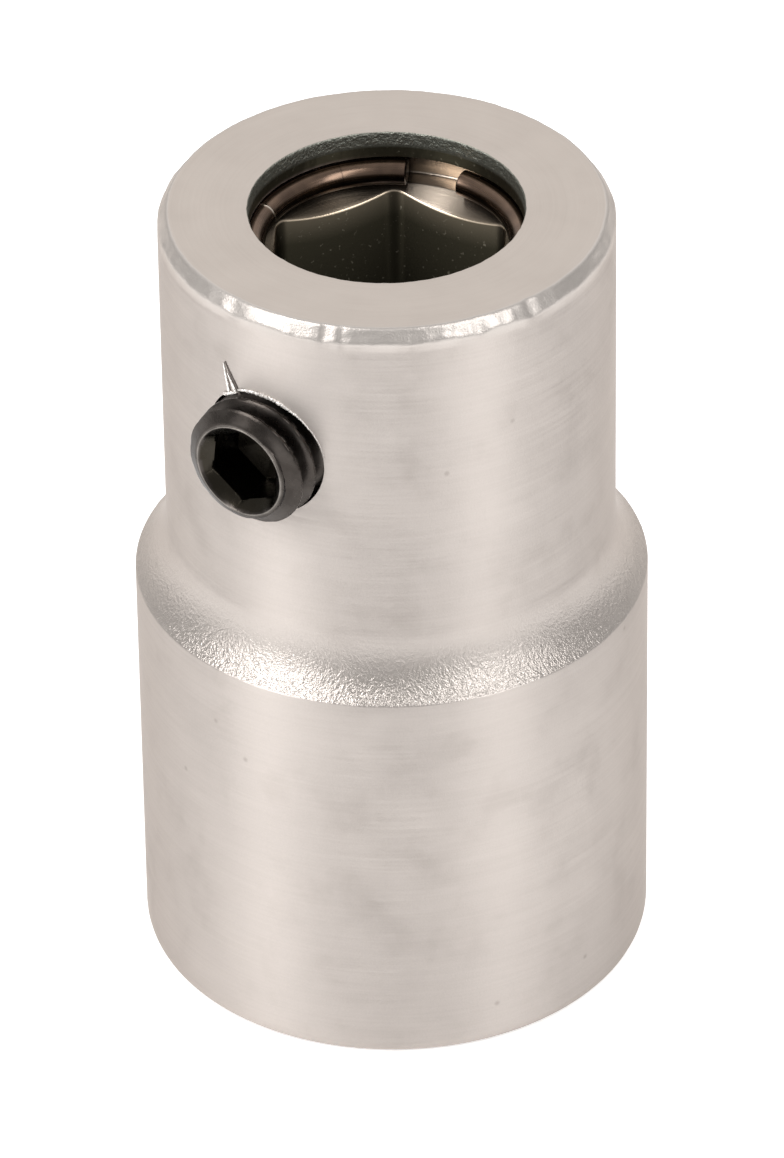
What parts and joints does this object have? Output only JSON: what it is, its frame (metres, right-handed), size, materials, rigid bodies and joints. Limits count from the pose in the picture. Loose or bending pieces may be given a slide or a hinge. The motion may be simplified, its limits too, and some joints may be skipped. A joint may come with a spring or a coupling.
{
  "type": "socket adapter",
  "caption": "Stepped round sleeve that takes a square drive at its wide end and a hexagonal bit at its narrow end, held by a ring and a set screw.",
  "frame": {"origin": "centre of the drive end's face, on the sleeve's axis", "axes": "+Z along the sleeve's axis out of the hexagonal bit socket; -Y out along the set screw; the hexagon's flats face +Y and -Y"},
  "size_m": [0.023, 0.0233, 0.038],
  "materials": {
    "nickel_plated_steel": "satin nickel plate",
    "spring_wire": "tempered spring wire, dark",
    "black_oxide_steel": "black oxide"
  },
  "bodies": {
    "sleeve": {"socket_body": "nickel_plated_steel"},
    "ring": {"retaining_ring": "spring_wire"},
    "screw": {"set_screw": "black_oxide_steel"}
  },
  "joints": [
    {"name": "ring_turn", "type": "hinge", "parent": "sleeve", "child": "ring", "pos_m": [0, 0, 0.036], "axis": [0, 0, 1], "continuous": true},
    {"name": "screw_travel", "type": "slide", "parent": "sleeve", "child": "screw", "axis": [0, -1, 0], "range_m": [-0.0008, 0.0047]}
  ]
}
